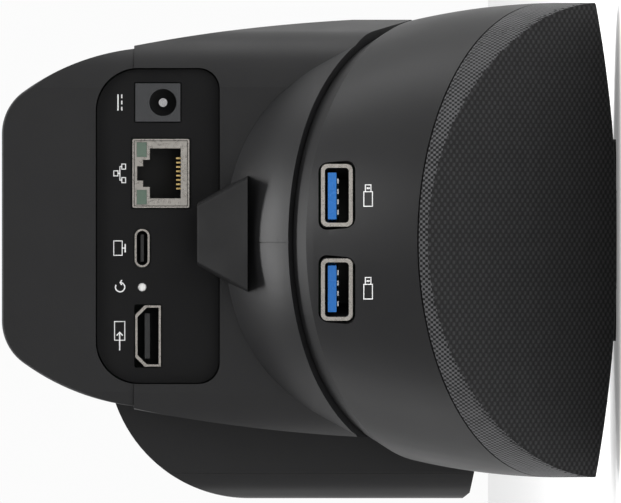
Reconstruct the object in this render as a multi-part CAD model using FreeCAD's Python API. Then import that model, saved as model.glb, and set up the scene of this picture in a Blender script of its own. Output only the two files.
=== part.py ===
import FreeCAD, Part
import math
import os

# Conference camera with a turning head, built on a tilted speaker base. Millimetres, +Z up.
# The origin is the mouth of the tripod thread under the base. The connectors face -Y and the head stands on
# the +Y side. At rest the head is turned to face -X. Shapes are drawn about the base's own upright axis, and
# save() moves them all so that the thread is at the origin.

V = FreeCAD.Vector
X_AXIS, Y_AXIS, Z_AXIS = V(1, 0, 0), V(0, 1, 0), V(0, 0, 1)
BIG = 400.0

# driving dimensions
wall = 2.4
gap = 0.18                 # half the width of the seam round the base
fine_gap = 0.04            # between the shells of one housing
thread_y = 22.0            # tripod thread, in front of the base's axis

base_r = 56.2              # widest radius of the base
base_wide_z = 15.0
shoulder_r, shoulder_z = 44.6, 72.0
dome_top_z = 93.0
cut_slope = 0.6            # the seam and the grille's edge both lie in planes that fall by this towards +Y
seam_z = 53.0              # height of the seam plane on the axis
grille_z = 16.5            # height of the grille's edge plane on the axis
bevel_in, bevel_down = 1.7, 4.6
crown_r = 300.0            # the underside curves up to both sides
deck_z = 28.0              # the shelf that the head stands on
notch_y = 10.0             # the shelf starts here

body_x = 3.0               # the connector housing stands a little to one side
body_back, body_front = -20.0, notch_y
body_top_z = 146.0
split_z = 114.2            # seam between the rear housing and its top cover
panel_w, panel_low, panel_high = 74.4, 94.0, 123.2
panel_y = body_back + 3.4  # the recessed connector panel

pan_y = 44.0               # the head turns about this upright axis
head_r = 29.0
head_face_x = -61.6
head_low, head_top = 31.2, 121.0
brow_r = 34.0
bezel_x = -55.5            # joint between the head's shell and its bezel
tilt_x, tilt_z = -34.0, 68.0
window_r = 18.0

usb_z, usb_y = 66.5, -46.0
usb_angles = (-14.6, 13.1) # the two ports are turned about the base's axis by these
face_angle = math.degrees(math.atan(0.78))


def arc(a, b, c):
    return Part.Arc(a, b, c).toShape()


def line(a, b):
    return Part.makeLine(a, b)


def prism(edges, direction):
    return Part.Face(Part.Wire(edges)).extrude(direction)


def box(x0, x1, y0, y1, z0, z1):
    return Part.makeBox(x1 - x0, y1 - y0, z1 - z0, V(x0, y0, z0))


def rod(r, start, end):
    way = end - start
    return Part.makeCylinder(r, way.Length, start, way)


def tube(r_out, r_in, start, end):
    way = (end - start).normalize()
    return rod(r_out, start, end).cut(rod(r_in, start - way, end + way))


def group(shapes):
    return Part.makeCompound(shapes)


def sign(a):
    return (a > 0) - (a < 0)


def rounded(width, height, radii, x, z, y0, y1):
    """A plate in the XZ plane from y0 to y1. radii are the corners' own, from the lower left one round."""
    w, h = width / 2, height / 2
    corners = [(-w, -h), (w, -h), (w, h), (-w, h)]
    bow = 1 - math.sqrt(0.5)
    ends = []
    for i, (cx, cz) in enumerate(corners):
        before, after, r = corners[i - 1], corners[(i + 1) % 4], radii[i]
        back = V(sign(before[0] - cx) * r, 0, sign(before[1] - cz) * r)
        on = V(sign(after[0] - cx) * r, 0, sign(after[1] - cz) * r)
        spot = V(x + cx, y0, z + cz)
        ends.append((spot + back, spot + (back + on) * bow, spot + on))
    edges = []
    for i, (a, m, b) in enumerate(ends):
        edges += [arc(a, m, b), line(b, ends[(i + 1) % 4][0])]
    return prism(edges, V(0, y1 - y0, 0))


def hull_of_base(inset):
    """The base as one turned solid with a domed top, made smaller all round by inset."""
    i = inset
    points = [V(0, 0, i), V(base_r - 3.2, 0, i), V(base_r - i, 0, 3.2 + i), V(base_r - i, 0, base_wide_z)]
    shoulder = V(shoulder_r - 0.92 * i, 0, shoulder_z - 0.4 * i)
    top = V(0, 0, dome_top_z - i)
    edges = [
        line(points[0], points[1]),
        line(points[1], points[2]),
        line(points[2], points[3]),
        arc(points[3], V(53.05 - i, 0, 44.0), shoulder),
        arc(shoulder, V(33.5 - 0.6 * i, 0, 86.0 - 0.8 * i), top),
        line(top, points[0]),
    ]
    face = Part.Face(Part.Wire(edges))
    return face.revolve(V(0, 0, 0), Z_AXIS, 360)


def below(z_on_axis):
    """Everything below a plane that falls towards +Y and is at this height on the axis."""
    block = box(-BIG, BIG, -BIG, BIG, -BIG, 0)
    block.rotate(V(0, 0, 0), X_AXIS, -math.degrees(math.atan(cut_slope)))
    block.translate(V(0, 0, z_on_axis))
    return block


def over_the_grille(inset):
    """Everything above the grille's sloping face and the flat bottom."""
    i = inset
    edges = [
        arc(V(0, -64, 57.2 + 1.25 * i), V(0, -22, 18.8 + 1.2 * i), V(0, 5, i)),
        line(V(0, 5, i), V(0, 90, i)),
        line(V(0, 90, i), V(0, 90, 150)),
        line(V(0, 90, 150), V(0, -64, 150)),
        line(V(0, -64, 150), V(0, -64, 57.2 + 1.25 * i)),
    ]
    solid = prism(edges, V(160, 0, 0))
    solid.translate(V(-80, 0, 0))
    return solid


def base_solid(inset=0.0):
    crown = rod(crown_r - inset, V(0, -90, crown_r), V(0, 90, crown_r))
    return hull_of_base(inset).common(over_the_grille(inset)).common(crown)


def at_both_ports(shape):
    """Two copies of a shape drawn at X = 0, one at each port in the base's wall."""
    copies = []
    for angle in usb_angles:
        copy = shape.copy()
        copy.rotate(V(0, 0, 0), Z_AXIS, angle)
        copies.append(copy)
    return group(copies)


def drum_shell():
    """The base's upright wall, bevelled where it meets the dome, with a deck over its front."""
    under_seam = hull_of_base(0).common(below(seam_z - gap))
    upper = under_seam.common(box(-BIG, BIG, -BIG, BIG, deck_z + 2, BIG))
    rim = [e for e in upper.Edges if on_plane(e, seam_z - gap)]
    upper = upper.makeChamfer(bevel_down, bevel_in, rim)
    outer = upper.fuse(under_seam.common(box(-BIG, BIG, -BIG, BIG, -1, deck_z + 2)))
    shell = outer.common(base_solid()).cut(below(grille_z)).cut(base_solid(wall))
    shell = shell.cut(box(-BIG, BIG, notch_y, BIG, deck_z, BIG))
    shell = shell.cut(at_both_ports(rounded(16.2, 8.6, [2.2] * 4, 0, usb_z, -60, -30)))
    return shell.cut(foot_outline(1.0, -1, 8)).removeSplitter()


def on_plane(edge, z_on_axis):
    points = edge.discretize(7)
    return all(abs(p.z - (z_on_axis - cut_slope * p.y)) < 0.02 for p in points)


def deck():
    """The level shelf that closes the base in front of the housing."""
    plate = base_solid(wall + 0.1).common(box(-BIG, BIG, notch_y + 0.2, BIG, deck_z - 3.0, deck_z))
    return plate.cut(rod(12.2, V(0, pan_y, 0), V(0, pan_y, 60)))


def grille_skin():
    """The knitted cover over the speaker grille."""
    skin = base_solid().cut(base_solid(0.9)).common(below(grille_z - 0.4))
    return skin.cut(foot_outline(1.0, -1, 8))


def grille_frame():
    """The stiff slotted cap under the cover."""
    cap = base_solid(1.0).cut(base_solid(2.8)).common(below(grille_z - 0.4))
    cap = cap.cut(foot_outline(1.0, -1, 8))
    for k in range(-4, 5):
        cap = cap.cut(rounded(3.2, 34, [1.5] * 4, k * 6.0, 24, -60, -12))
    return cap


def foot_outline(margin, z0, z1):
    w = 24.0 + margin
    block = box(-w, w, 9.0 - margin, 49.0 + margin, z0, z1)
    upright = [e for e in block.Edges if abs(e.tangentAt(e.FirstParameter).z) > 0.9]
    return block.makeFillet(6.0, upright)


def foot_plate():
    plate = foot_outline(0.7, 1.6, 4.6)
    return plate.cut(rod(5.2, V(0, thread_y, -1), V(0, thread_y, 9)))


def rubber_foot():
    foot = foot_outline(0.0, 0.0, 1.5)
    return foot.cut(rod(5.2, V(0, thread_y, -1), V(0, thread_y, 9)))


def tripod_insert():
    stem = rod(5.0, V(0, thread_y, 0), V(0, thread_y, 11))
    flange = rod(7.5, V(0, thread_y, 4.7), V(0, thread_y, 6.2))
    return stem.fuse(flange).cut(rod(3.175, V(0, thread_y, -1), V(0, thread_y, 9)))


def ballast():
    plate = base_solid(3.4).common(box(-BIG, BIG, 9, BIG, 6.4, 13.4))
    return plate.cut(rod(8.2, V(0, thread_y, 0), V(0, thread_y, 20)))


def face_point(depth):
    """A point on the speaker's axis, this far in from the grille's face."""
    a = math.radians(face_angle)
    return V(0, -23 + depth * math.sin(a), 20.5 + depth * math.cos(a))


def speaker_basket():
    ring = tube(27.0, 21.5, face_point(4.5), face_point(6.5))
    cage = Part.makeCone(26.0, 17.0, 9.0, face_point(6.5), face_point(7.5) - face_point(6.5))
    hollow = Part.makeCone(24.4, 15.4, 9.0, face_point(6.5), face_point(7.5) - face_point(6.5))
    return ring.fuse(cage.cut(hollow)).removeSplitter()


def speaker_cone():
    way = face_point(7.5) - face_point(6.5)
    outer = Part.makeCone(21.2, 8.0, 7.0, face_point(5.0), way)
    inner = Part.makeCone(20.4, 7.2, 7.0, face_point(4.2), way)
    return outer.cut(inner)


def speaker_magnet():
    return rod(16.5, face_point(15.6), face_point(22.0))


def housing_outline(inset):
    """Half outline of the connector housing, from its foot to its flat top."""
    i = inset
    return [
        (V(50.0 - i, 0, 38), V(47.7 - i, 0, 82), V(42.8 - i, 0, 114.2)),
        (V(42.8 - i, 0, 114.2), V(38.6 - i, 0, 129.8), V(32.8 - i * 0.8, 0, 140.2 - i * 0.6)),
        (V(32.8 - i * 0.8, 0, 140.2 - i * 0.6), V(28.6 - i * 0.6, 0, 144.2 - i * 0.8),
         V(22.0, 0, body_top_z - i)),
    ]


def flip(p):
    return V(-p.x, p.y, p.z)


def housing_solid(inset, y0, y1):
    half = housing_outline(inset)
    right = [arc(*trio) for trio in half]
    left = [arc(*[flip(p) for p in trio]) for trio in half]
    top = line(half[-1][2], flip(half[-1][2]))
    foot = line(half[0][0], flip(half[0][0]))
    solid = prism(right + [top] + left[::-1] + [foot], V(0, y1 - y0, 0))
    solid.translate(V(body_x, y0, 0))
    return solid


def housing_plan(inset):
    """The housing seen from above: flat at the back, with corners that follow the round base."""
    def side(s):
        spots = [(36.0, -20.0, 0.3, -0.95), (45.0, -15.6, 0.62, -0.78), (49.5, -7.0, 0.93, -0.37),
                 (53.2, 12.0, 1.0, -0.1)]
        return [V(s * (x - nx * inset), y - ny * inset, 0) for x, y, nx, ny in spots]
    a, b = side(1), side(-1)
    edges = [arc(a[0], a[1], a[2]), line(a[2], a[3]), line(a[3], b[3]), line(b[3], b[2])]
    edges += [arc(b[2], b[1], b[0]), line(b[0], a[0])]
    return prism(edges, V(0, 0, 160))


def soften(solid, y, radius):
    """Rounds the edges of the face at this Y, apart from the buried foot."""
    edges = [e for e in solid.Edges if all(abs(p.y - y) < 0.01 and p.z > 38.5 for p in e.discretize(5)[1:-1])]
    return solid.makeFillet(radius, edges)


def panel_cut(margin, y0, y1):
    height = panel_high - panel_low
    return rounded(panel_w + margin, height + margin, [5.0, 5.0, 10.0, 10.0], body_x + 0.3,
                   (panel_low + panel_high) / 2, y0, y1)


def housing_shell(inset):
    outer = soften(housing_solid(inset, body_back, body_front), body_back, 1.8).common(housing_plan(inset))
    inner = housing_solid(inset + wall, body_back + wall, body_front - 2.4).common(housing_plan(inset + wall))
    return outer.cut(inner).cut(below(seam_z + gap))


def rear_housing():
    shell = housing_shell(0).common(box(-BIG, BIG, -BIG, body_front - 2.4 - fine_gap, 0, split_z))
    return shell.cut(panel_cut(0, -60, panel_y + 8))


def top_cover():
    shell = housing_shell(0.7)
    shell = shell.common(box(-BIG, BIG, -BIG, body_front - 2.4 - fine_gap, split_z + fine_gap, BIG))
    return shell.cut(panel_cut(0, -60, panel_y + 8))


def front_cover():
    """The flat cover between the housing and the head."""
    y0, y1 = body_front - 2.4, body_front - 0.2
    plate = housing_solid(0.7, y0, y1).cut(below(seam_z + gap))
    foot = hull_of_base(wall + 0.2).common(box(-BIG, BIG, y0, y1, deck_z + 0.2, 60))
    return plate.fuse(foot).removeSplitter()


def dome_cover():
    """The domed shoulder between the speaker base and the connector housing."""
    shell = hull_of_base(0).cut(hull_of_base(wall)).cut(below(seam_z + gap))
    shell = shell.cut(housing_plan(-0.15)).common(box(-BIG, BIG, -BIG, 0, 0, BIG))
    mould_line = box(-0.7, -0.5, -60, -30, 70, 96)
    return shell.cut(mould_line.common(hull_of_base(0).cut(hull_of_base(0.4))))


def guard_ring(half, z, y):
    near, far = half, half * 0.93
    x, y_wall = 1.4, body_back - 0.1
    pts = [V(x - near, y_wall, z), V(x + near, y_wall, z), V(x + far, y, z), V(x - far, y, z)]
    return Part.makePolygon(pts + [pts[0]])


def cable_guard():
    """The wedge below the connectors that keeps the plugs' cables off the dome."""
    wedge = Part.makeLoft([guard_ring(14.2, 87.4, -35.5), guard_ring(7.3, 99.3, -28.0)], True, True)
    edges = [e for e in wedge.Edges if min(p.y for p in e.discretize(5)) < -27.9 and e.BoundBox.ZMax > 88]
    wedge = wedge.makeFillet(0.9, edges)
    return wedge.cut(hull_of_base(-0.15))


PORT_HDMI = (-22.6, 110.9)
PORT_RESET = (-11.1, 112.3)
PORT_TYPE_C = (-1.9, 112.3)
PORT_LAN = (15.7, 107.9)
PORT_DC = (32.4, 108.6)


def port_sizes():
    return [(PORT_HDMI, 14.6, 6.2, 0.5), (PORT_TYPE_C, 9.0, 3.6, 1.75), (PORT_LAN, 16.4, 13.6, 0.4),
            (PORT_DC, 9.2, 10.8, 0.4)]


def connector_panel():
    plate = panel_cut(-0.5, panel_y, panel_y + 1.6)
    for place, w, h, r in port_sizes():
        plate = plate.cut(rounded(w + 0.3, h + 0.3, [r] * 4, place[0], place[1], panel_y - 2, panel_y + 4))
    x, z = PORT_RESET
    return plate.cut(rod(1.1, V(x, panel_y - 2, z), V(x, panel_y + 4, z)))


def hollow_port(place, w, h, r, skin, y0, y1):
    x, z = place
    outer = rounded(w, h, [r] * 4, x, z, y0, y1)
    inner = rounded(w - 2 * skin, h - 2 * skin, [max(r - skin, 0.15)] * 4, x, z, y0 - 1, y1 - skin)
    return outer.cut(inner)


def hdmi_outline(grow, y0, y1):
    """A receptacle with its two upper corners cut off."""
    w, h, c = 7.2 + grow, 3.0 + grow, 2.2
    half = [(w, -h), (w, h - c), (w - c, h)]
    spots = half + [(-a, b) for a, b in half[::-1]]
    pts = [V(PORT_HDMI[0] + a, y0, PORT_HDMI[1] + b) for a, b in spots]
    return Part.Face(Part.makePolygon(pts + [pts[0]])).extrude(V(0, y1 - y0, 0))


def hdmi_receptacle():
    return hdmi_outline(0, panel_y - 0.4, panel_y + 12).cut(hdmi_outline(-0.5, panel_y - 1, panel_y + 11))


def hdmi_tongue():
    x, z = PORT_HDMI
    return box(x - 5.3, x + 5.3, panel_y + 0.8, panel_y + 10.9, z - 0.4, z + 0.8)


def type_c_tongue():
    x, z = PORT_TYPE_C
    return box(x - 3.2, x + 3.2, panel_y + 0.6, panel_y + 7.5, z - 0.37, z + 0.37)


def type_c_receptacle():
    return hollow_port(PORT_TYPE_C, 9.0, 3.5, 1.7, 0.45, panel_y - 0.4, panel_y + 8)


def lan_jack():
    """The jack's metal can, open in front."""
    return hollow_port(PORT_LAN, 16.2, 13.4, 0.4, 0.35, panel_y - 0.5, panel_y + 14)


def lan_space(half, low, high, back, side=0):
    """A box in the network socket, at its middle or at one of its two lights."""
    x, z = PORT_LAN[0] + side * 5.6, PORT_LAN[1]
    return box(x - half, x + half, panel_y - 2, panel_y + back, z + low, z + high)


def lan_insert():
    """The moulded lining, with the stepped notch for the plug's latch."""
    x, z = PORT_LAN
    block = box(x - 7.6, x + 7.6, panel_y - 0.2, panel_y + 13, z - 6.2, z + 6.2)
    for half, low, high in ((5.9, -4.7, 2.6), (3.2, 2.5, 4.2), (1.7, 4.1, 5.6)):
        block = block.cut(lan_space(half, low, high, 12))
    return block.cut(lan_space(1.75, 3.3, 5.7, 3, -1)).cut(lan_space(1.75, 3.3, 5.7, 3, 1))


def lan_lights():
    front = box(-BIG, BIG, panel_y - 0.2, BIG, -BIG, BIG)
    return group([lan_space(1.7, 3.35, 5.65, 2.9, side).common(front) for side in (-1, 1)])


def lan_contacts():
    x, z = PORT_LAN
    spots = [x + (k - 3.5) * 1.02 for k in range(8)]
    return group([box(c - 0.2, c + 0.2, panel_y + 1.2, panel_y + 11.8, z - 4.65, z - 3.6) for c in spots])


def dc_jack():
    x, z = PORT_DC
    block = box(x - 4.5, x + 4.5, panel_y - 0.3, panel_y + 12, z - 5.3, z + 5.3)
    return block.cut(rod(3.2, V(x, panel_y - 2, z - 1.2), V(x, panel_y + 10, z - 1.2)))


def dc_pin():
    x, z = PORT_DC
    return rod(1.0, V(x, panel_y + 0.8, z - 1.2), V(x, panel_y + 10, z - 1.2))


def reset_button():
    x, z = PORT_RESET
    stem = rod(0.95, V(x, panel_y + 0.5, z), V(x, panel_y + 3.4, z))
    return stem.fuse(rod(1.8, V(x, panel_y + 3.4, z), V(x, panel_y + 4.4, z)))


def reset_switch():
    x, z = PORT_RESET
    return box(x - 2.4, x + 2.4, panel_y + 5.1, panel_y + 8, z - 2.2, z + 2.2)


def main_board():
    return box(body_x - 36, body_x + 36, 0.6, 2.2, 97.0, 121.0)


def board_screws():
    return group([rod(2.6, V(x, -1.0, 99.5), V(x, 0.5, 99.5)) for x in (body_x - 33, body_x + 33)])


def usb_shells():
    outer = rounded(15.0, 7.4, [1.5] * 4, 0, usb_z, usb_y, usb_y + 13)
    inner = rounded(13.2, 5.6, [0.9] * 4, 0, usb_z, usb_y - 1, usb_y + 12.4)
    return at_both_ports(outer.cut(inner))


def usb_tongues():
    return at_both_ports(box(-5.6, 5.6, usb_y + 0.7, usb_y + 12.3, usb_z + 0.1, usb_z + 2.1))


def usb_board():
    return box(-19, 18, -29.8, -28.2, usb_z - 5, usb_z + 6)


def head_profile(inset):
    """Side view of the head, facing -X: a flat face, a round brow and a chin that rises to the face."""
    i = inset
    face, low, top = head_face_x + i, head_low + i, head_top - i
    brow_x, brow_z = head_face_x + brow_r, head_top - brow_r
    r = brow_r - i
    back = head_r - i
    crown_back = 16.0 - i
    c = math.sqrt(0.5)
    bow = crown_back * (1 - c)
    chin = V(-43.5 + i, pan_y, low)
    lip = V(face + 1.4, pan_y, 34.7 + i)
    pts = [chin, lip, V(face, pan_y, 36.4 + i), V(face, pan_y, brow_z)]
    over = V(back - crown_back, pan_y, top)
    return [
        line(pts[0], pts[1]),
        line(pts[1], pts[2]),
        line(pts[2], pts[3]),
        arc(pts[3], V(brow_x - r * c, pan_y, brow_z + r * c), V(brow_x, pan_y, top)),
        line(V(brow_x, pan_y, top), over),
        arc(over, V(back - bow, pan_y, top - bow), V(back, pan_y, top - crown_back)),
        line(V(back, pan_y, top - crown_back), V(back, pan_y, low)),
        line(V(back, pan_y, low), chin),
    ]


def head_plan(inset):
    """Plan of the head: half round at the back, narrowing a little to a face with round corners."""
    r = head_r - inset
    face, half, corner = head_face_x + inset, head_r - 2.6 - inset, 7.0
    edges, c = [], math.sqrt(0.5)
    for side in (1, -1):
        cheek = V(face + corner, pan_y + side * half, 0)
        turn = V(face + corner * (1 - c), pan_y + side * (half - corner * (1 - c)), 0)
        edge = V(face, pan_y + side * (half - corner), 0)
        edges += [line(V(0, pan_y + side * r, 0), cheek), arc(cheek, turn, edge)]
    edges.append(line(V(face, pan_y + half - corner, 0), V(face, pan_y - half + corner, 0)))
    edges.append(arc(V(0, pan_y + r, 0), V(r, pan_y, 0), V(0, pan_y - r, 0)))
    return Part.Face(Part.Wire(Part.__sortEdges__(edges))).extrude(V(0, 0, 200))


def head_solid(inset=0.0):
    side = Part.Face(Part.Wire(head_profile(inset))).extrude(V(0, 100, 0))
    side.translate(V(0, -50, 0))
    return side.common(head_plan(inset))


def head_shell():
    shell = head_solid().cut(head_solid(wall)).common(box(bezel_x, BIG, -BIG, BIG, 0, BIG))
    return shell.cut(rod(10.6, V(0, pan_y, 20), V(0, pan_y, 40)))


def head_bezel():
    front = head_solid().common(box(-BIG, bezel_x - fine_gap, -BIG, BIG, 0, BIG))
    front = front.cut(head_solid(wall).common(box(head_face_x + 3.6, BIG, -BIG, BIG, 0, BIG)))
    centre, out = V(head_face_x - 2, pan_y, tilt_z), V(bezel_x + 2, pan_y, tilt_z)
    front = front.cut(rod(window_r - 1.6, centre, out))
    front = front.cut(rod(window_r + 0.1, centre, V(head_face_x + 1.9, pan_y, tilt_z)))
    return front.cut(rod(1.1, V(head_face_x - 2, pan_y, 42.5), V(head_face_x + 5, pan_y, 42.5)))


def front_window():
    return rod(window_r, V(head_face_x + 0.3, pan_y, tilt_z), V(head_face_x + 1.85, pan_y, tilt_z))


def status_light():
    return rod(1.0, V(head_face_x + 0.1, pan_y, 42.5), V(head_face_x + 3.4, pan_y, 42.5))


def lens_barrel():
    barrel = tube(13.0, 10.6, V(tilt_x - 17, pan_y, tilt_z), V(tilt_x + 13, pan_y, tilt_z))
    back = rod(13.0, V(tilt_x + 13, pan_y, tilt_z), V(tilt_x + 15, pan_y, tilt_z))
    bosses = rod(5.0, V(tilt_x, pan_y - 15.5, tilt_z), V(tilt_x, pan_y + 15.5, tilt_z))
    bosses = bosses.cut(rod(12.0, V(tilt_x - 20, pan_y, tilt_z), V(tilt_x + 13.5, pan_y, tilt_z)))
    holes = rod(2.05, V(tilt_x, pan_y - 16, tilt_z), V(tilt_x, pan_y + 16, tilt_z))
    return barrel.fuse(back).fuse(bosses).cut(holes).removeSplitter()


def lens_ring():
    ring = tube(15.0, 13.1, V(tilt_x - 16.5, pan_y, tilt_z), V(tilt_x - 9.5, pan_y, tilt_z))
    cuts = []
    for k in range(36):
        a = math.radians(10 * k)
        spot = V(0, pan_y + 15.2 * math.cos(a), tilt_z + 15.2 * math.sin(a))
        cuts.append(rod(0.45, V(tilt_x - 15.5, spot.y, spot.z), V(tilt_x - 10.5, spot.y, spot.z)))
    return ring.cut(group(cuts))


def front_lens():
    disc = rod(10.4, V(tilt_x - 15.6, pan_y, tilt_z), V(tilt_x - 11.5, pan_y, tilt_z))
    dome = Part.makeSphere(24.0, V(tilt_x - 15.9 + 24.0, pan_y, tilt_z))
    return disc.common(dome)


def zoom_carrier():
    return tube(10.2, 7.6, V(tilt_x - 6.0, pan_y, tilt_z), V(tilt_x + 0.5, pan_y, tilt_z))


def zoom_lens():
    return rod(7.5, V(tilt_x - 4.5, pan_y, tilt_z), V(tilt_x - 1.2, pan_y, tilt_z))


def image_sensor():
    return box(tilt_x + 15.1, tilt_x + 16.6, pan_y - 10, pan_y + 10, tilt_z - 9, tilt_z + 9)


def tilt_axles():
    inner, outer = 13.2, 19.9
    right = rod(2.0, V(tilt_x, pan_y - outer, tilt_z), V(tilt_x, pan_y - inner, tilt_z))
    return group([right, rod(2.0, V(tilt_x, pan_y + inner, tilt_z), V(tilt_x, pan_y + outer, tilt_z))])


def tilt_frame():
    """A U-shaped frame, standing on the head's floor, that carries the lens on two axles."""
    floor = head_low + wall + 0.05
    plate = box(tilt_x - 6, tilt_x + 22, pan_y - 20, pan_y + 20, floor, floor + 2.4)
    plate = plate.cut(rod(12.0, V(0, pan_y, 0), V(0, pan_y, 60)))
    for y in (pan_y - 18.7, pan_y + 18.7):
        plate = plate.fuse(box(tilt_x - 5, tilt_x + 5, y - 1.3, y + 1.3, floor, tilt_z + 6))
    frame = plate.removeSplitter()
    return frame.cut(rod(2.05, V(tilt_x, pan_y - 30, tilt_z), V(tilt_x, pan_y + 30, tilt_z)))


def tilt_motor():
    return rod(6.0, V(tilt_x + 15.5, pan_y + 2, 42.1), V(tilt_x + 15.5, pan_y + 18, 42.1))


def pan_bearing():
    """The fixed seat on the deck that the head turns on."""
    seat = tube(12.0, 6.3, V(0, pan_y, deck_z - 3.0), V(0, pan_y, deck_z + 0.2))
    return seat.fuse(tube(20.0, 6.3, V(0, pan_y, deck_z + 0.2), V(0, pan_y, deck_z + 2.7))).removeSplitter()


def pan_spindle():
    """The hollow spindle that holds the head down through the bearing."""
    stem = rod(6.2, V(0, pan_y, deck_z - 8.0), V(0, pan_y, head_low + wall + 4.5))
    flange = rod(10.4, V(0, pan_y, head_low + 0.05), V(0, pan_y, head_low + wall + 4.5))
    cap = rod(9.0, V(0, pan_y, deck_z - 8.0), V(0, pan_y, deck_z - 5.2))
    body = stem.fuse(flange).fuse(cap).removeSplitter()
    return body.cut(rod(3.5, V(0, pan_y, 0), V(0, pan_y, 80)))


def head_board():
    return box(8, 9.6, pan_y - 17, pan_y + 17, 52, 104)


PIECES = [
    drum_shell, deck, grille_skin, grille_frame, foot_plate, rubber_foot, tripod_insert, ballast,
    speaker_basket, speaker_cone, speaker_magnet, usb_shells, usb_tongues, usb_board, dome_cover,
    cable_guard, rear_housing, top_cover, front_cover, connector_panel, hdmi_receptacle,
    type_c_receptacle, lan_jack, lan_insert, lan_lights, lan_contacts, dc_jack, dc_pin, reset_button,
    reset_switch, main_board, board_screws, head_shell, head_bezel, front_window, status_light,
    lens_barrel, lens_ring, front_lens, zoom_carrier, zoom_lens, image_sensor, tilt_axles, tilt_frame,
    tilt_motor, pan_bearing, pan_spindle, head_board, hdmi_tongue, type_c_tongue,
]


def save(name, shape):
    shape = shape.copy()
    shape.translate(V(0, -thread_y, 0))
    shape.exportStep("parts/" + name + ".step")
    print(name, "solids", len(shape.Solids), "valid", shape.isValid(), "volume", round(shape.Volume, 1))


def main():
    os.makedirs("parts", exist_ok=True)
    for make in PIECES:
        save(make.__name__, make())


main()
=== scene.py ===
"""A studio view of the conference camera from behind, built around its CAD frame.

The CAD shells are kept and get moulded, plated and coated materials. The grille's cover gets a knitted skin
of its own, the data ports get contacts, two boards get chips, and each connector has a plain printed sign.
Lengths are in metres.
"""
import bpy
import bmesh
import math
from mathutils import Matrix, Vector
from mathutils.bvhtree import BVHTree


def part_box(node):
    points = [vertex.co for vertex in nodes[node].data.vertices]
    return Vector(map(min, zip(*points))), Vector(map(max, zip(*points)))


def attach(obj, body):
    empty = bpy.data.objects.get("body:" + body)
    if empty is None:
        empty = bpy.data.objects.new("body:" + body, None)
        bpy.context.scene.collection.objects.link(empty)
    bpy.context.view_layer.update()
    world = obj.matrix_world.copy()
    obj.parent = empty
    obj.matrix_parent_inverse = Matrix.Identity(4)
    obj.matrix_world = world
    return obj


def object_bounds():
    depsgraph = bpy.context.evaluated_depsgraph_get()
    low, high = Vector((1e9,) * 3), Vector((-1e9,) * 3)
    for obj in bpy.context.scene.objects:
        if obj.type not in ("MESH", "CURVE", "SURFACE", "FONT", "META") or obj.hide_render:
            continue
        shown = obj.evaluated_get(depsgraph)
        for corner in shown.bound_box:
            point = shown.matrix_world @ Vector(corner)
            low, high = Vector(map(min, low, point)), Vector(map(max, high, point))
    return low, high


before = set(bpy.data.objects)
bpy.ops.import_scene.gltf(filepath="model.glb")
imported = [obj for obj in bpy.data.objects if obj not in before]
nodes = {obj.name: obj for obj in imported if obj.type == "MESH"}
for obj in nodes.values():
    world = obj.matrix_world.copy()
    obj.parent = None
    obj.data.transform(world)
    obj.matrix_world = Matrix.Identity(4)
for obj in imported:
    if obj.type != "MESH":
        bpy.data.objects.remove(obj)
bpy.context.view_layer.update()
MM = 0.001
FULL_TURN = 2 * math.pi

# the knit of the grille's cover
KNIT_PERIOD = 2.07 * MM      # from one row of loops to the next but one
KNIT_STEP = KNIT_PERIOD / 5  # spacing of the cover's grid
KNIT_RISE = 0.11 * MM        # how far a loop stands above the middle of the cloth
KNIT_GAP = 0.03 * MM         # from the CAD skin to the lowest of the loops
KNIT_LOWEST = 0.02 * MM      # the cloth comes no lower than this above the foot's plane
KNIT_STRETCH = 4 * KNIT_STEP  # a square of the grid that is wider than this is left out
KNIT_SLOPE = math.radians(39.7)
DOWN_FACE = Vector((0, math.cos(KNIT_SLOPE), -math.sin(KNIT_SLOPE)))
OUT_OF_FACE = Vector((0, -math.sin(KNIT_SLOPE), -math.cos(KNIT_SLOPE)))
LEAST_FACING = 0.05          # the cover ends where the skin faces outward by less than this
LOOPS_BEGIN = 0.8            # loops begin to rise where the skin faces outward by this much
LOOPS_FADE = 0.1             # and stand in full this much further on
RIM_PERIOD = 1.25 * MM       # the finer rows where the cloth is rolled round the grille's edge
RIM_NORMAL_Z = (-0.55, -0.40)  # the flat face's rows give way to the rim's between these
KNIT_HOLE = (0.0020, 0.0020, 0.0022)
KNIT_LOOP = (0.018, 0.018, 0.019)
# a loop on the rim, painted brighter: a painted highlight where the rolled edge catches the light
RIM_LOOP_HIGHLIGHT = (0.070, 0.070, 0.073)

# printed signs
SIGN_LINE = 0.16 * MM        # half the width of a printed line
SIGN_OVER_PORT = 2.9 * MM    # the signs' middle is this far above the tallest connector
SIGN_UNDER_USB = 3.6 * MM    # and the data ports' signs are this far under their shells
USB_HALF_WIDTH = 7.5 * MM

# the spring contacts under a data port's tongue
CONTACTS = 4
CONTACT_PITCH = 2.5 * MM
CONTACT_SIZE = (1.3 * MM, 8.0 * MM, 0.45 * MM)
CONTACT_LIP = 0.12 * MM
CONTACT_DROP = 0.3 * MM      # its middle is this far under the tongue
CONTACT_SHIFT = 1.2 * MM     # and this far from the tongue's middle towards the port's mouth
TONGUE_WIDTH = 12 * MM       # no tongue is wider
SAME_LEVEL = 0.1 * MM

LIP_DEPTH = 5 * MM           # a socket's bright lip lies within this of its foremost point
LIP_NORMAL_Y = -0.8          # and faces the rear at least this squarely
CHIP_LIP = 0.15 * MM
FAR_OFF = 0.2                # a ray towards the grille starts this far out of its face
REAR_Y = -1                  # and a ray towards the wall starts here

FLOOR_HALF = 2.2
FLOOR_DROP = 0.3 * MM        # the floor lies this far under the foot

VIEW_WIDTH = 146.1 * MM      # what the picture shows along its longer side
VIEW_DISTANCE = 3.0
SENSOR = 36
VIEW_END = 50

NOISE_SPAN = (0.3, 0.7)      # where nearly all of a noise's values lie

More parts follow.
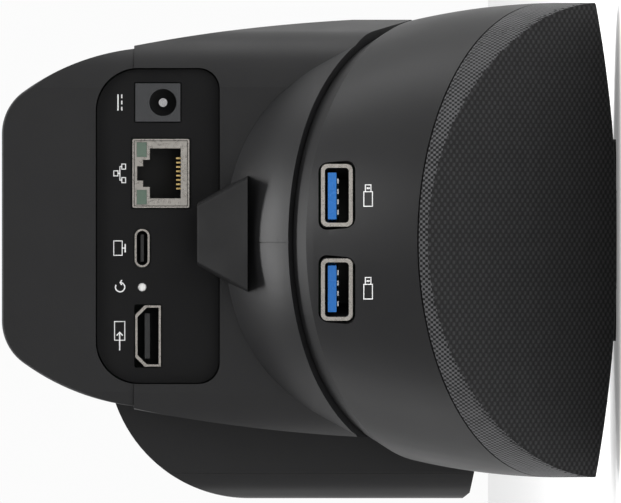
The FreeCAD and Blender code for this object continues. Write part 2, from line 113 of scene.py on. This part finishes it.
# a Mix node's sockets go by number, because several share a name
MIX_FACTOR = 0
MIX_PLAIN = (2, 3, 0)        # first, second and result, for numbers
MIX_COLOUR = (6, 7, 2)       # the same for colours


# Materials

def map_range(tree, value, old, new):
    """A value carried over from one range to another, and held at its ends."""
    made = tree.nodes.new("ShaderNodeMapRange")
    for socket, number in zip(("From Min", "From Max", "To Min", "To Max"), (*old, *new)):
        made.inputs[socket].default_value = number
    tree.links.new(value, made.inputs["Value"])
    return made.outputs[0]


class Shades:
    """One node material, with short calls for what every material here needs."""

    def __init__(self, name, colour, roughness, metallic=0.0):
        self.material = bpy.data.materials.new(name)
        self.material.use_nodes = True
        self.tree = self.material.node_tree
        self.shader = self.tree.nodes["Principled BSDF"]
        self.shader.inputs["Base Color"].default_value = (*colour, 1.0)
        self.shader.inputs["Roughness"].default_value = roughness
        self.shader.inputs["Metallic"].default_value = metallic
        self.place = self.tree.nodes.new("ShaderNodeTexCoord").outputs["Object"]

    def set(self, socket, value):
        self.shader.inputs[socket].default_value = value
        return self

    def node(self, kind, **inputs):
        made = self.tree.nodes.new(kind)
        for socket, value in inputs.items():
            self.feed(made.inputs[socket], value)
        return made

    def feed(self, socket, value):
        if isinstance(value, bpy.types.NodeSocket):
            self.tree.links.new(value, socket)
        else:
            socket.default_value = value

    def noise(self, size, detail=3.0, stretch=(1, 1, 1)):
        place = self.node("ShaderNodeMapping", Vector=self.place, Scale=stretch).outputs[0]
        return self.node("ShaderNodeTexNoise", Vector=place, Scale=1 / size, Detail=detail).outputs[0]

    def arith(self, kind, *values):
        made = self.tree.nodes.new("ShaderNodeMath")
        made.operation = kind
        for socket, value in zip(made.inputs, values):
            self.feed(socket, value)
        return made.outputs[0]

    def plus(self, first, second):
        return self.arith("ADD", first, second)

    def times(self, first, second):
        return self.arith("MULTIPLY", first, second)

    def wave(self, value, turn):
        return self.arith("COSINE", self.times(value, turn))

    def spread(self, factor, low, high):
        return map_range(self.tree, factor, NOISE_SPAN, (low, high))

    def mix(self, factor, first, second):
        """Numbers or colours, either of them plain or another node's output."""
        made = self.tree.nodes.new("ShaderNodeMix")
        is_colour = isinstance(first, tuple)
        made.data_type = "RGBA" if is_colour else "FLOAT"
        *sockets, result = MIX_COLOUR if is_colour else MIX_PLAIN
        self.feed(made.inputs[MIX_FACTOR], factor)
        for socket, value in zip(sockets, (first, second)):
            self.feed(made.inputs[socket], (*value, 1.0) if isinstance(value, tuple) else value)
        return made.outputs[result]

    def tint(self, factor, dark, light):
        self.feed(self.shader.inputs["Base Color"], self.mix(factor, dark, light))
        return self

    def rough(self, factor, low, high):
        self.feed(self.shader.inputs["Roughness"], self.spread(factor, low, high))
        return self

    def bump(self, height, depth):
        made = self.node("ShaderNodeBump", Height=height, Distance=depth)
        self.feed(self.shader.inputs["Normal"], made.outputs[0])
        return self


def scaled(colour, share):
    return tuple(share * c for c in colour)


def moulded(name, dark, light, grain=0.28 * MM, rough=(0.42, 0.47), depth=0.012 * MM, specular=0.4):
    """Spark-textured moulded plastic: a fine grain, and a slow change in gloss from handling."""
    colour_patch, gloss_patch = 9 * MM, 14 * MM
    made = Shades(name, dark, rough[0]).set("Specular IOR Level", specular)
    made.tint(made.noise(colour_patch), dark, light)
    made.rough(made.noise(gloss_patch, 5), *rough)
    return made.bump(made.noise(grain, 2), depth).material


def plated(name, colour, rough=(0.22, 0.38), stretch=(1, 1, 1)):
    """Metal with a dull patch here and there and fine pits, drawn out along an axis where it is brushed."""
    colour_patch, gloss_patch, pits, pit_depth = 1.6 * MM, 0.7 * MM, 0.25 * MM, 0.006 * MM
    made = Shades(name, colour, rough[0], metallic=1.0)
    made.tint(made.noise(colour_patch), colour, scaled(colour, 0.82))
    made.rough(made.noise(gloss_patch, 4, stretch), *rough)
    return made.bump(made.noise(pits, 2, stretch), pit_depth).material


def knit_material():
    """Loops in staggered rows: a loop catches the light and the hole between loops is nearly black. The loops
    on the rim are painted brighter, a painted highlight where the cloth rolls round the grille's edge.
    """
    patch, yarn, yarn_depth = 5 * MM, 0.12 * MM, 0.02 * MM
    made = Shades("knit", KNIT_LOOP, 0.75).set("Specular IOR Level", 0.25)
    made.set("Sheen Weight", 0.08).set("Sheen Roughness", 0.4)
    x, y, z = made.node("ShaderNodeSeparateXYZ", Vector=made.place).outputs
    turn = FULL_TURN / KNIT_PERIOD
    down = made.plus(made.times(y, DOWN_FACE.y * turn), made.times(z, DOWN_FACE.z * turn))
    face_loops = made.times(made.wave(x, turn), made.arith("COSINE", down))
    low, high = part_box("drum_shell")
    around = made.arith("ARCTAN2", x, made.arith("SUBTRACT", (low.y + high.y) / 2, y))
    stitches = round(math.pi * (high.x - low.x) / RIM_PERIOD)
    rim_loops = made.times(made.wave(around, stitches), made.wave(z, FULL_TURN / RIM_PERIOD))
    normal = made.tree.nodes.new("ShaderNodeNewGeometry").outputs["Normal"]
    normal_z = made.node("ShaderNodeSeparateXYZ", Vector=normal).outputs[2]
    on_rim = map_range(made.tree, normal_z, RIM_NORMAL_Z, (0, 1))
    loops = made.mix(on_rim, face_loops, rim_loops)
    # random tone patches, plus a painted highlight that lifts the loops on the rim
    tone_and_rim_highlight = made.plus(made.times(made.noise(patch), 0.5), made.times(on_rim, 0.25))
    shown = made.plus(made.times(loops, 0.9), tone_and_rim_highlight)
    made.tint(made.spread(shown, 0.0, 1.0), KNIT_HOLE, made.mix(on_rim, KNIT_LOOP, RIM_LOOP_HIGHLIGHT))
    return made.bump(made.plus(loops, made.noise(yarn, 2)), yarn_depth).material


def board_material():
    patch, tracks, track_height = 3 * MM, 1.1 * MM, 0.03 * MM
    dark, light = (0.008, 0.06, 0.025), (0.014, 0.10, 0.045)
    made = Shades("solder_resist", dark, 0.35)
    made.tint(made.noise(patch, 0), dark, light)
    return made.bump(made.noise(tracks, 0), track_height).material


def glass_material(name, colour, coat, specular):
    colour_patch, gloss_patch = 25 * MM, 20 * MM
    made = Shades(name, colour, 0.03).set("Transmission Weight", 0.97).set("Specular IOR Level", specular)
    made.set("Coat Weight", coat).set("Coat Tint", (0.55, 0.65, 1.0, 1.0))
    made.rough(made.noise(gloss_patch), 0.015, 0.04)
    return made.tint(made.noise(colour_patch), colour, scaled(colour, 1.15)).material


body_black = moulded("satin_black", (0.0085, 0.0085, 0.0090), (0.0105, 0.0105, 0.0110), specular=0.26)
panel_black = moulded("matt_black", (0.0040, 0.0040, 0.0043), (0.0052, 0.0052, 0.0055),
                      rough=(0.55, 0.68), specular=0.14)
inner_black = moulded("inner_black", (0.010, 0.010, 0.010), (0.014, 0.014, 0.014), rough=(0.5, 0.65))
socket_grey = moulded("socket_grey", (0.026, 0.027, 0.029), (0.033, 0.034, 0.036), rough=(0.45, 0.6))
# painted shade: a near-black matte for the insides of the sockets
socket_inside_shade = moulded("socket_inside_shade", (0.006, 0.006, 0.006), (0.009, 0.009, 0.009),
                        rough=(0.45, 0.6), specular=0.3)
rubber = moulded("foot_rubber", (0.018, 0.018, 0.018), (0.026, 0.025, 0.024),
                 grain=0.6 * MM, rough=(0.75, 0.9), depth=0.03 * MM, specular=0.2)
blue = moulded("blue_plastic", (0.006, 0.11, 0.38), (0.010, 0.14, 0.45), rough=(0.22, 0.35), specular=0.5)
white_plastic = moulded("white_plastic", (0.72, 0.72, 0.70), (0.80, 0.80, 0.78),
                        rough=(0.4, 0.5), specular=0.5)
ink = moulded("white_ink", (0.70, 0.70, 0.70), (0.80, 0.80, 0.80), rough=(0.6, 0.7), depth=0.004 * MM)
cone_paper = moulded("cone_paper", (0.03, 0.03, 0.03), (0.05, 0.05, 0.048),
                     grain=0.9 * MM, rough=(0.85, 0.95))
light_pipe = moulded("light_pipe", (0.07, 0.11, 0.08), (0.10, 0.14, 0.11), rough=(0.25, 0.4), specular=0.5)
nickel = plated("nickel", (0.46, 0.435, 0.40))
steel = plated("steel", (0.52, 0.52, 0.53), stretch=(1, 6, 1))
gold = plated("gold_contacts", (0.80, 0.58, 0.24), rough=(0.2, 0.3))
brass = plated("brass_thread", (0.68, 0.50, 0.22))
cast_iron = plated("cast_iron", (0.18, 0.18, 0.18), rough=(0.6, 0.8))
knit = knit_material()
board = board_material()
window_glass = glass_material("window_glass", (0.62, 0.62, 0.64), coat=0.0, specular=0.03)
lens_glass = glass_material("lens_glass", (0.10, 0.09, 0.20), coat=0.35, specular=0.25)

FINISHES = {
    body_black: ["drum_shell", "dome_cover", "rear_housing", "top_cover", "front_cover", "head_shell",
                 "head_bezel", "deck"],
    panel_black: ["connector_panel", "cable_guard"],
    inner_black: ["grille_frame", "foot_plate", "lens_barrel", "lens_ring", "zoom_carrier", "tilt_frame",
                  "pan_bearing", "hdmi_tongue", "type_c_tongue", "reset_switch"],
    socket_grey: ["dc_jack"],
    rubber: ["rubber_foot"],
    blue: ["usb_tongues"],
    white_plastic: ["reset_button"],
    cone_paper: ["speaker_cone"],
    light_pipe: ["lan_lights", "status_light"],
    steel: ["speaker_basket", "speaker_magnet", "tilt_axles", "board_screws", "tilt_motor", "dc_pin"],
    gold: ["lan_contacts"],
    brass: ["tripod_insert"],
    cast_iron: ["ballast", "pan_spindle"],
    knit: ["grille_skin"],
    board: ["usb_board", "main_board", "head_board", "image_sensor"],
    window_glass: ["front_window"],
    lens_glass: ["front_lens", "zoom_lens"],
}
SOCKETS = ["usb_shells", "hdmi_receptacle", "type_c_receptacle", "lan_jack", "lan_insert"]


def paint(thing, material):
    thing.data.materials.clear()
    thing.data.materials.append(material)


def paint_socket(node):
    """A socket's lip is bright plate, and its inside is painted near black: painted shade down in the socket.
    """
    thing = nodes[node]
    paint(thing, nickel)
    thing.data.materials.append(socket_inside_shade)
    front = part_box(node)[0].y
    for face in thing.data.polygons:
        # faces set back from the lip get the painted shade
        is_lip = face.normal.y < LIP_NORMAL_Y and face.center.y < front + LIP_DEPTH
        face.material_index = 0 if is_lip else 1


# Pieces

def put(made):
    bpy.context.scene.collection.objects.link(made)
    return made


def piece(name, data, material, body):
    """A mesh, a mesh in the making or a curve becomes a piece that rides on a body."""
    if isinstance(data, bmesh.types.BMesh):
        mesh = bpy.data.meshes.new(name)
        data.to_mesh(mesh)
        data = mesh
    made = put(bpy.data.objects.new(name, data))
    paint(made, material)
    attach(made, body)
    return made


def surface_of(node):
    mesh = nodes[node].data
    return BVHTree.FromPolygons([v.co for v in mesh.vertices], [p.vertices for p in mesh.polygons])


def middle(node):
    low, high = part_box(node)
    return (low + high) / 2


def loop_height(x, down):
    turn = FULL_TURN / KNIT_PERIOD
    return KNIT_RISE * math.cos(x * turn) * math.cos(down * turn)


def knitted_cover():
    """The cloth over the grille, as a fine grid laid on the CAD skin, with a loop raised at each stitch."""
    skin = surface_of("grille_skin")
    low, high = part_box("grille_skin")
    start = Vector((0, low.y, high.z)).dot(DOWN_FACE)
    end = Vector((0, high.y, low.z)).dot(DOWN_FACE)
    columns = int((high.x - low.x) / KNIT_STEP)
    rows = int((end - start) / KNIT_STEP)
    cloth = bmesh.new()
    grid = {}
    for row in range(rows):
        down = start + (row + 0.5) * KNIT_STEP
        for column in range(columns):
            x = low.x + (column + 0.5) * KNIT_STEP
            eye = Vector((x, 0, 0)) + DOWN_FACE * down + OUT_OF_FACE * FAR_OFF
            spot, normal, _, _ = skin.ray_cast(eye, -OUT_OF_FACE)
            if spot is None or normal.dot(OUT_OF_FACE) < LEAST_FACING:
                continue
            on_face = min(1.0, max(0.0, (normal.dot(OUT_OF_FACE) - LOOPS_BEGIN) / LOOPS_FADE))
            spot = spot + normal * (KNIT_RISE + KNIT_GAP + on_face * loop_height(x, down))
            spot.z = max(spot.z, KNIT_LOWEST)
            grid[row, column] = cloth.verts.new(spot)
    for (row, column), corner in grid.items():
        ahead = [grid.get(place) for place in ((row, column + 1), (row + 1, column + 1), (row + 1, column))]
        if None in ahead or max((v.co - corner.co).length for v in ahead) > KNIT_STRETCH:
            continue
        cloth.faces.new([corner, *ahead]).smooth = True
    bmesh.ops.delete(cloth, geom=[v for v in cloth.verts if not v.link_faces], context="VERTS")
    bmesh.ops.recalc_face_normals(cloth, faces=cloth.faces)
    if sum(f.normal.dot(OUT_OF_FACE) for f in cloth.faces) < 0:
        bmesh.ops.reverse_faces(cloth, faces=cloth.faces)
    area = sum(f.calc_area() for f in cloth.faces)
    cover = piece("knitted_cover", cloth, knit, "base")


def printed_sign(name, strokes, where):
    """Thin raised lines of ink. A stroke's points are in millimetres, right and up from the sign's middle."""
    lines = bpy.data.curves.new(name, "CURVE")
    lines.dimensions = "3D"
    lines.bevel_depth = SIGN_LINE
    lines.bevel_resolution = 2
    for stroke in strokes:
        closed = stroke[0] == stroke[-1]
        points = stroke[:-1] if closed else stroke
        spline = lines.splines.new("POLY")
        spline.points.add(len(points) - 1)
        spline.use_cyclic_u = closed
        for point, (right, up) in zip(spline.points, points):
            point.co = (*where(right * MM, up * MM), 1.0)
    lines.use_fill_caps = True
    piece(name, lines, ink, "base")


def rectangle(x0, z0, x1, z1):
    return [(x0, z0), (x1, z0), (x1, z1), (x0, z1), (x0, z0)]


def turn_arrow(radius):
    """Most of a circle, with an arrow head at its end."""
    angles = [math.radians(a) for a in range(60, 361, 15)]
    ring = [(radius * math.cos(a), radius * math.sin(a)) for a in angles]
    tip = ring[-1]
    return [ring, [(tip[0] - 0.6, tip[1] - 0.35), tip, (tip[0] + 0.55, tip[1] - 0.45)]]


# each sign's strokes, in millimetres
DISPLAY_IN = [rectangle(-1.0, -1.1, 3.4, 1.3), [(-3.4, 0.1), (0.9, 0.1)],
              [(0.1, 0.8), (0.9, 0.1), (0.1, -0.6)]]
RESTART = turn_arrow(1.1)
COMPUTER = [rectangle(-1.7, -0.5, 1.7, 1.5), [(0, -0.5), (0, -1.2)], [(-1.0, -1.2), (1.0, -1.2)]]
NETWORK = [rectangle(-0.6, 0.5, 0.6, 1.5), rectangle(-2.2, -1.3, -1.0, -0.4), rectangle(1.0, -1.3, 2.2, -0.4),
           [(-1.6, -0.4), (-1.6, 0.05), (1.6, 0.05), (1.6, -0.4)], [(0, 0.5), (0, 0.05)]]
DIRECT_CURRENT = [[(-1.9, 0.5), (1.9, 0.5)], [(-1.9, -0.4), (-1.0, -0.4)], [(-0.45, -0.4), (0.45, -0.4)],
                  [(1.0, -0.4), (1.9, -0.4)]]
DATA_PLUG = [rectangle(-2.4, -1.0, 1.0, 1.0), rectangle(1.0, -0.65, 2.6, 0.65), [(1.6, 0.2), (2.0, 0.2)],
             [(1.6, -0.2), (2.0, -0.2)]]

PANEL_SIGNS = [
    ("display_in", DISPLAY_IN, "hdmi_receptacle"),
    ("restart", RESTART, "reset_button"),
    ("computer", COMPUTER, "type_c_receptacle"),
    ("network", NETWORK, "lan_jack"),
    ("direct_current", DIRECT_CURRENT, "dc_jack"),
]


def signs():
    panel_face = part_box("connector_panel")[0].y
    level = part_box("lan_jack")[1].z + SIGN_OVER_PORT
    for name, strokes, port in PANEL_SIGNS:
        x = middle(port).x
        printed_sign("sign_" + name, strokes, lambda right, up: (x + right, panel_face, level + up))
    wall = surface_of("drum_shell")
    low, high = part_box("usb_shells")
    under = low.z - SIGN_UNDER_USB
    for side, x in (("left", low.x + USB_HALF_WIDTH), ("right", high.x - USB_HALF_WIDTH)):
        def on_wall(right, up):
            return wall.ray_cast(Vector((x + right, REAR_Y, under + up)), Vector((0, 1, 0)))[0]
        printed_sign("sign_data_" + side, DATA_PLUG, on_wall)


def rounded_bar(mesh, centre, size, turn, lip):
    """One bar with softened edges, added to a mesh in the making."""
    spot = Matrix.Translation(centre) @ turn @ Matrix.Diagonal((*size, 1.0))
    made = bmesh.ops.create_cube(mesh, size=1.0, matrix=spot)["verts"]
    edges = list({e for v in made for e in v.link_edges})
    bmesh.ops.bevel(mesh, geom=edges, offset=lip, segments=2, affect="EDGES", profile=0.5)


def usb_contacts():
    """Four spring contacts under each blue tongue."""
    tongues = nodes["usb_tongues"].data.vertices
    for side, name in ((-1, "usb_contacts_left"), (1, "usb_contacts_right")):
        spots = [v.co for v in tongues if v.co.x * side > 0]
        low_z = min(p.z for p in spots)
        front = min(spots, key=lambda p: (round(p.y, 5), p.z))
        centre = sum(spots, Vector()) / len(spots)
        front_edge = [p for p in spots
                      if (p - front).length < TONGUE_WIDTH and abs(p.z - front.z) < SAME_LEVEL]
        far = max(front_edge, key=lambda p: (p - front).to_2d().length if p.y < centre.y else 0)
        along = (far - front).normalized()
        if along.x < 0:
            along = -along
        inward = Vector((-along.y, along.x, 0))
        turn = Matrix.Rotation(math.atan2(along.y, along.x), 4, "Z")
        under = Vector((centre.x, centre.y, low_z - CONTACT_DROP))
        mesh = bmesh.new()
        for k in range(CONTACTS):
            spot = under + along * (k - (CONTACTS - 1) / 2) * CONTACT_PITCH - inward * CONTACT_SHIFT
            rounded_bar(mesh, spot, CONTACT_SIZE, turn, CONTACT_LIP)
        piece(name, mesh, steel, "base")


# each chip's place along and up its board, as shares of the board, then its width, height and thickness in mm
MAIN_BOARD_CHIPS = [(0.25, 0.5, 14, 14, 1.6), (0.55, 0.55, 9, 9, 1.2), (0.8, 0.4, 6, 10, 2)]
HEAD_BOARD_CHIPS = [(0.5, 0.6, 12, 12, 1.4), (0.5, 0.25, 18, 5, 2)]


def chips(name, node, spots, body):
    """Chips and connectors on a board that stands across X or Y, as softened blocks on its face."""
    low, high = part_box(node)
    thin = 0 if high.x - low.x < high.y - low.y else 1
    across = 1 - thin
    mesh = bmesh.new()
    for along, up, width, height, thick in spots:
        centre = Vector((0, 0, low.z + up * (high.z - low.z)))
        centre[across] = low[across] + along * (high[across] - low[across])
        centre[thin] = high[thin] + thick * MM / 2
        size = [0, 0, height * MM]
        size[across] = width * MM
        size[thin] = thick * MM
        rounded_bar(mesh, centre, size, Matrix.Identity(4), CHIP_LIP)
    piece(name, mesh, inner_black, body)


# The studio

LAMPS = [  # name, place, width and height, watts
    ("key", (0.35, -0.75, 0.85), (0.5, 0.5), 5),
    ("overhead", (0.0, -0.12, 0.95), (0.7, 0.14), 8),
    ("side_right", (0.75, 0.05, 0.2), (0.3, 0.8), 2.6),
    ("side_left", (-0.75, 0.05, 0.2), (0.3, 0.8), 1.6),
]
ROOM_COLOUR = (0.97, 0.97, 0.97, 1.0)
ROOM_SPAN = (-0.3, 0.8)      # the room's light grows between these directions along Y
ROOM_LIGHT = (0.42, 1.0)


def floor_paint():
    """A white sheet that glows a little, so that it stays pale far from the lamps."""
    white, off_white, patch = (0.9, 0.9, 0.9), (0.885, 0.885, 0.885), 0.4
    made = Shades("pale_floor", white, 0.7)
    made.set("Emission Color", (1.0, 1.0, 1.0, 1.0)).set("Emission Strength", 0.2)
    return made.tint(made.noise(patch), white, off_white).material


def floor():
    mesh = bpy.data.meshes.new("floor")
    corners = [(FLOOR_HALF * x, FLOOR_HALF * y, 0) for x, y in ((-1, -1), (1, -1), (1, 1), (-1, 1))]
    mesh.from_pydata(corners, [], [(0, 1, 2, 3)])
    made = put(bpy.data.objects.new("floor", mesh))
    made.location.z = -FLOOR_DROP
    paint(made, floor_paint())


def lamp(name, spot, aim, size, power):
    data = bpy.data.lights.new(name, "AREA")
    data.shape = "RECTANGLE"
    data.size, data.size_y = size
    data.energy = power
    made = put(bpy.data.objects.new(name, data))
    made.location = spot
    made.rotation_euler = (Vector(aim) - Vector(spot)).to_track_quat("-Z", "Y").to_euler()


def light_it(centre):
    """A pale room, brighter towards +Y than towards -Y, and four soft lamps."""
    world = bpy.data.worlds.new("pale_room")
    world.use_nodes = True
    tree = world.node_tree
    direction = tree.nodes.new("ShaderNodeTexCoord").outputs["Generated"]
    parts = tree.nodes.new("ShaderNodeSeparateXYZ")
    tree.links.new(direction, parts.inputs[0])
    colour, strength = tree.nodes["Background"].inputs[:2]
    colour.default_value = ROOM_COLOUR
    tree.links.new(map_range(tree, parts.outputs[1], ROOM_SPAN, ROOM_LIGHT), strength)
    bpy.context.scene.world = world
    bpy.context.scene.view_settings.view_transform = "Standard"
    for name, spot, size, power in LAMPS:
        lamp(name, spot, centre, size, power)


def camera(centre):
    """Level, facing the connectors, and on its side, so that the object's up is the picture's left."""
    data = bpy.data.cameras.new("camera")
    data.sensor_width = SENSOR
    data.lens = SENSOR * VIEW_DISTANCE / VIEW_WIDTH
    data.clip_end = VIEW_END
    made = put(bpy.data.objects.new("camera", data))
    right, up, back = Vector((0, 0, -1)), Vector((1, 0, 0)), Vector((0, -1, 0))
    turn = Matrix((right, up, back)).transposed().to_4x4()
    made.matrix_world = Matrix.Translation(centre + back * VIEW_DISTANCE) @ turn
    bpy.context.scene.camera = made


low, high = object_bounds()
view_centre = Vector(((low.x + high.x) / 2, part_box("rear_housing")[0].y, (low.z + high.z) / 2))
camera(view_centre)
light_it(view_centre)
floor()

for finish, names in FINISHES.items():
    for name in names:
        paint(nodes[name], finish)
for socket in SOCKETS:
    paint_socket(socket)

knitted_cover()
signs()
usb_contacts()
chips("main_board_parts", "main_board", MAIN_BOARD_CHIPS, "base")
chips("head_board_parts", "head_board", HEAD_BOARD_CHIPS, "head")
